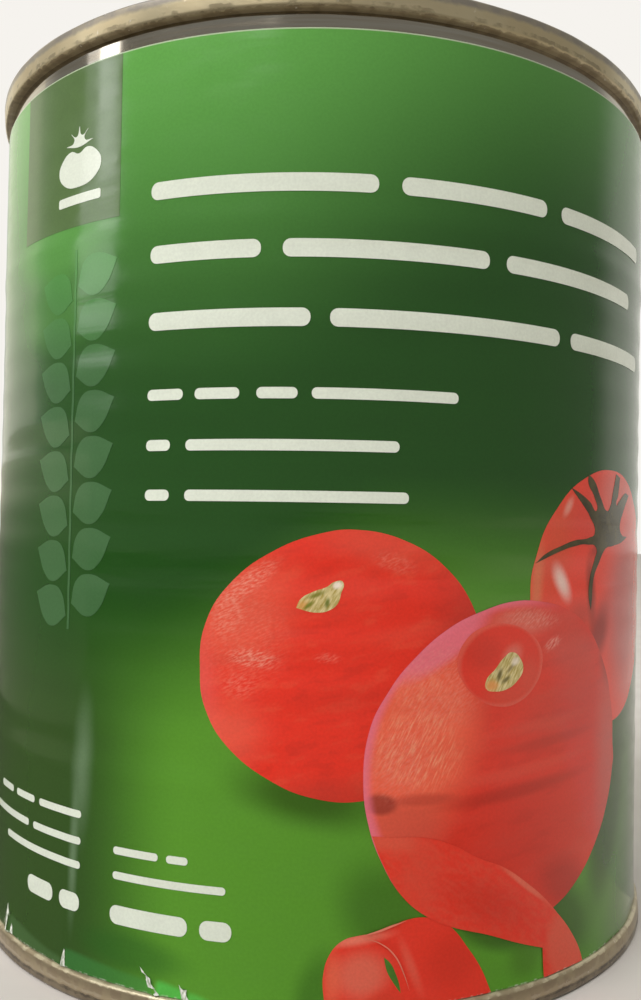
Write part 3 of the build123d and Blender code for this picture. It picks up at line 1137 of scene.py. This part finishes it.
class TIN_OT_flat_print(bpy.types.Operator):
    """Prints the tag with its emblem, the sprig beside it and the white bars"""

    bl_idname = "tin.flat_print"
    bl_label = "Tag, sprig and bars"

    def execute(self, context):
        white = plain_ink("white_offset_ink", picked("white"), 0.02)
        tag = cut_flat("print_tag", [box_outline(-46.3, -25.9, 93.5, PAPER_TOP - 0.15)])
        print_piece(tag, plain_ink("tag_offset_ink", picked("tag"), 0.03), 1)
        emblem = cut_flat("emblem", [EMBLEM_FRUIT, EMBLEM_CROWN])
        print_piece(join([emblem, bar(-37.2, -29.1, 96.3, 97.5)], "print_emblem"), white, 2)

        outlines = [box_outline(-33.5, -33.1, 43.5, 90.5)]
        for number in range(8):
            foot = 44.5 + 5.6 * number
            outlines.append(leaf(-33.8, foot + 0.6, 7.2, 158))
            outlines.append(leaf(-32.8, foot + 2.2, 7.2, 22))
        print_piece(cut_flat("print_sprig", outlines), coated_paper("sprig_offset_ink", sprig_green), 1)

        for name, lines in (
            ("print_headline_bars", HEADLINE_BARS),
            ("print_small_bars", SMALL_BARS),
            ("print_weight_bars", WEIGHT_BARS),
        ):
            bars = [bar(left, right, foot, top, 0.9) for *words, foot, top in lines for left, right in words]
            print_piece(join(bars, name), white, 2)
        return {"FINISHED"}


# Outlines of the printed fruit and peel, in mm of paper.
LEFT_TOMATO = [
    (-13.6, 40), (-13, 45.5), (-10, 50.2), (-5, 53.9), (0, 55.8), (3.8, 56.3), (10, 55), (15, 51.8),
    (18, 48), (19.8, 43), (19.6, 38), (18, 33.5), (15, 30), (10, 27.2), (5, 25.8), (0, 26.1), (-5, 27.9),
    (-10, 31.4), (-12.8, 35.5),
]
FRONT_TOMATO = [
    (5.3, 28), (6, 34), (8, 38), (10.3, 41), (15, 45), (20, 47.2), (24, 48.1), (28, 48), (33, 46.9),
    (36.5, 45.2), (40, 42), (43, 37.5), (44.6, 33), (45.1, 29), (44.8, 25), (43, 20.5), (40, 16.5),
    (36, 13), (31.5, 10.7), (26, 9.6), (19, 10.2), (13, 12.6), (10, 15), (7.5, 19), (6, 23),
]
LEFT_SCAR = [
    (-2.6, 47.4, 1), (-2.1, 48.4), (-0.8, 49.2), (0.8, 49.8), (1.7, 50.4), (2.6, 50.4), (2.4, 49.0),
    (2.1, 48.0), (1.2, 47.2), (-0.4, 46.9),
]
FRONT_SCAR = [
    (20.1, 38.0), (20.1, 38.9), (21.4, 40.2), (22.6, 41.5), (23.7, 42.1), (25.1, 41.2), (25.5, 40.0),
    (24.5, 38.6), (23.1, 37.8), (21.4, 37.6),
]
SKIN_DISC = [
    (16.3, 41.2), (17.3, 43.7), (20.0, 45.3), (22.8, 45.5), (26.2, 44.4), (28.4, 42.2), (28.6, 40.1),
    (27.4, 37.9), (24.9, 36.1), (21.8, 35.8), (18.9, 37.0), (17.0, 39.0),
]
CALYX = [
    (27.3, 52.6, 1), (28.9, 53.7), (31.8, 54.7), (34.5, 55.4), (37.9, 55.8), (39.2, 56.4), (37.9, 58.4),
    (36.1, 60.0), (33.7, 62.0, 1), (35.8, 61.3), (37.9, 60.3), (39.5, 59.3), (38.9, 61.1), (37.4, 62.8),
    (37.4, 63.9, 1), (39.1, 62.9), (40.7, 60.9), (42.4, 59.3), (43.4, 59.9), (44.3, 61.8),
    (45.2, 64.3, 1), (46.7, 63.9, 1), (46.2, 61.5), (45.5, 60.2), (46.4, 60.6), (49.4, 61.9),
    (50.9, 61.6, 1), (48.0, 59.1), (47.0, 57.4), (47.6, 56.4), (50.2, 55.9, 1), (47.8, 55.2),
    (44.3, 54.7), (42.0, 54.3), (40.2, 52.4), (39.0, 50.5), (38.4, 46.5, 1), (37.7, 48.4), (38.1, 50.6),
    (39.1, 53.0), (39.6, 54.3), (37.3, 54.9), (34.6, 54.7), (31.8, 54.1),
]
RIBBON = [
    (6.4, 21.9, 1), (8.5, 21.7), (12.7, 21.4), (16.1, 20.3), (19.2, 18.6), (23.2, 16.8), (26.8, 14.3),
    (29.1, 12.5), (31.7, 10.0), (34.5, 7.0), (36.6, 3.8), (36.9, 2.7, 1), (29.4, 2.7, 1), (29.3, 6.2, 1),
    (25.4, 7.6), (20.6, 9.5), (18.1, 10.3), (16.3, 10.9), (12.8, 12.6), (10, 15), (7.6, 18.9),
]
CURL_BACK = [
    (1.5, 2.7, 1), (1.2, 6.5), (2, 9), (3.3, 10.3), (5, 10.8), (7, 10.9), (9, 10.3), (10.5, 9),
    (11.4, 7.0), (12.5, 4.6), (13.2, 2.7, 1),
]
CURL_BAND = [
    (6.0, 10.95, 1), (8.5, 11.6), (10.5, 12.3), (13, 12.4), (15, 11.7), (16.5, 10.5), (18, 8.6),
    (20, 5.7), (21.4, 2.7, 1), (12.6, 2.7, 1), (12.0, 4.8), (11.0, 7.0), (9.9, 8.8), (8.4, 10.1),
]
CURL_GAP = [(8.0, 8.3, 1), (8.7, 7.7), (9.4, 6.4), (9.9, 4.9), (10.0, 4.2, 1), (9.2, 5.3), (8.4, 6.7)]
PEEL_EDGES = [
    sliver((5.2, 10.8, 0), (7.2, 11.25, 0.11), (8.9, 11.8, 0.11), (10.6, 12.3, 0)),
    sliver((5.6, 10.6, 0), (7.6, 9.9, 0.06), (9.2, 8.5, 0.08), (10.3, 6.4, 0.06), (11.0, 4.4, 0)),
]


class TIN_OT_tomatoes(bpy.types.Operator):
    """Prints the three tomatoes, with their scars, skin disc and calyx"""

    bl_idname = "tin.tomatoes"
    bl_label = "Printed tomatoes"

    def execute(self, context):
        middle, half = (43.5, 48.1), (17.0, 16.6)
        turns = np.linspace(0, math.tau, 17)[:-1]
        vine = [(middle[0] + half[0] * math.cos(t), middle[1] + half[1] * math.sin(t)) for t in turns]
        scar = coated_paper("scar_print", scar_cream)
        for name, outline, material, layer in (
            ("print_vine_tomato", vine, coated_paper("glossy_skin_print", skin_red), 1),
            ("print_calyx", CALYX, plain_ink("calyx_print", picked("calyx"), 0.3), 2),
            ("print_left_tomato", LEFT_TOMATO, coated_paper("peeled_print", peeled_red), 1),
            ("print_left_scar", LEFT_SCAR, scar, 2),
            ("print_front_tomato", FRONT_TOMATO, coated_paper("fibrous_print", front_red), 3),
            ("print_skin_disc", SKIN_DISC, coated_paper("skin_disc_print", disc_red), 4),
            ("print_front_scar", FRONT_SCAR, scar, 5),
        ):
            print_piece(cut_flat(name, [outline]), material, layer)
        return {"FINISHED"}


class TIN_OT_peel(bpy.types.Operator):
    """Prints the strip of peel that hangs from the front tomato and the curl beside it"""

    bl_idname = "tin.peel"
    bl_label = "Printed peel"

    def execute(self, context):
        curl = coated_paper("peel_curl_print", curl_red)
        edges = plain_ink("peel_edge_print", linear("#DE7E68"), 0.1)
        for name, outlines, material, layer in (
            ("print_ribbon", [RIBBON], coated_paper("peel_strip_print", peel_red), 5),
            ("print_curl_back", [CURL_BACK], curl, 1),
            ("print_curl_gap", [CURL_GAP], plain_ink("curl_gap_print", linear("#4C7A2E"), 0.1), 2),
            ("print_curl_band", [CURL_BAND], curl, 3),
            ("print_peel_edges", PEEL_EDGES, edges, 7),
        ):
            print_piece(cut_flat(name, outlines), material, layer)
        return {"FINISHED"}


# Torn paper at the creases in the label's foot.
TEARS = [
    [
        (-47.2, 2.67, 1), (-46.9, 3.5, 1), (-46.9, 4.6), (-46.7, 6.2, 1), (-46.2, 5.0, 1), (-45.9, 4.3),
        (-45.4, 3.9), (-45.1, 3.4), (-44.8, 2.67, 1),
    ],
    [(-32.6, 2.67, 1), (-32.4, 4.1, 1), (-31.8, 6.3, 1), (-31.7, 4.6), (-31.9, 3.4, 1), (-31.8, 2.67, 1)],
    [
        (-20.4, 5.4, 1), (-20.0, 4.6), (-19.4, 4.0, 1), (-19.3, 3.5), (-18.7, 2.72, 1), (-17.6, 2.72, 1),
        (-18.2, 3.4, 1), (-18.7, 3.9), (-18.9, 4.4, 1), (-19.7, 4.9),
    ],
    [
        (-15.3, 4.3, 1), (-15.1, 3.5), (-14.9, 2.7, 1), (-13.9, 2.7, 1), (-14.3, 3.3), (-14.3, 3.8, 1),
        (-14.9, 3.9),
    ],
]


class TIN_OT_wear(bpy.types.Operator):
    """Adds the torn paper at the creases in the label's foot"""

    bl_idname = "tin.wear"
    bl_label = "Torn paper"

    def execute(self, context):
        print_piece(cut_flat("paper_tears", TEARS, 4), torn_fibre("torn_paper_fibre"), 1)
        return {"FINISHED"}


OPERATORS = (
    TIN_OT_stage,
    TIN_OT_ends,
    TIN_OT_wall,
    TIN_OT_label,
    TIN_OT_flat_print,
    TIN_OT_tomatoes,
    TIN_OT_peel,
    TIN_OT_wear,
)


class TIN_PT_panel(bpy.types.Panel):
    """Lists the tin's pieces in the sidebar"""

    bl_idname = "TIN_PT_panel"
    bl_label = "Tomato tin"
    bl_space_type = "VIEW_3D"
    bl_region_type = "UI"
    bl_category = "Tomato tin"

    def draw(self, context):
        for operator in OPERATORS:
            self.layout.operator(operator.bl_idname)
        for group in (context.scene.tin_sizes, context.scene.tin_colours):
            box = self.layout.box()
            for key in group.__annotations__:
                box.prop(group, key)


CLASSES = (TinSizes, TinColours, *OPERATORS, TIN_PT_panel)


def register():
    for cls in CLASSES:
        bpy.utils.register_class(cls)
    bpy.types.Scene.tin_sizes = bpy.props.PointerProperty(type=TinSizes)
    bpy.types.Scene.tin_colours = bpy.props.PointerProperty(type=TinColours)


def unregister():
    del bpy.types.Scene.tin_sizes
    del bpy.types.Scene.tin_colours
    for cls in reversed(CLASSES):
        bpy.utils.unregister_class(cls)


def main():
    register()
    for operator in OPERATORS:
        group, name = operator.bl_idname.split(".")
        getattr(getattr(bpy.ops, group), name)()


if __name__ == "__main__":
    main()
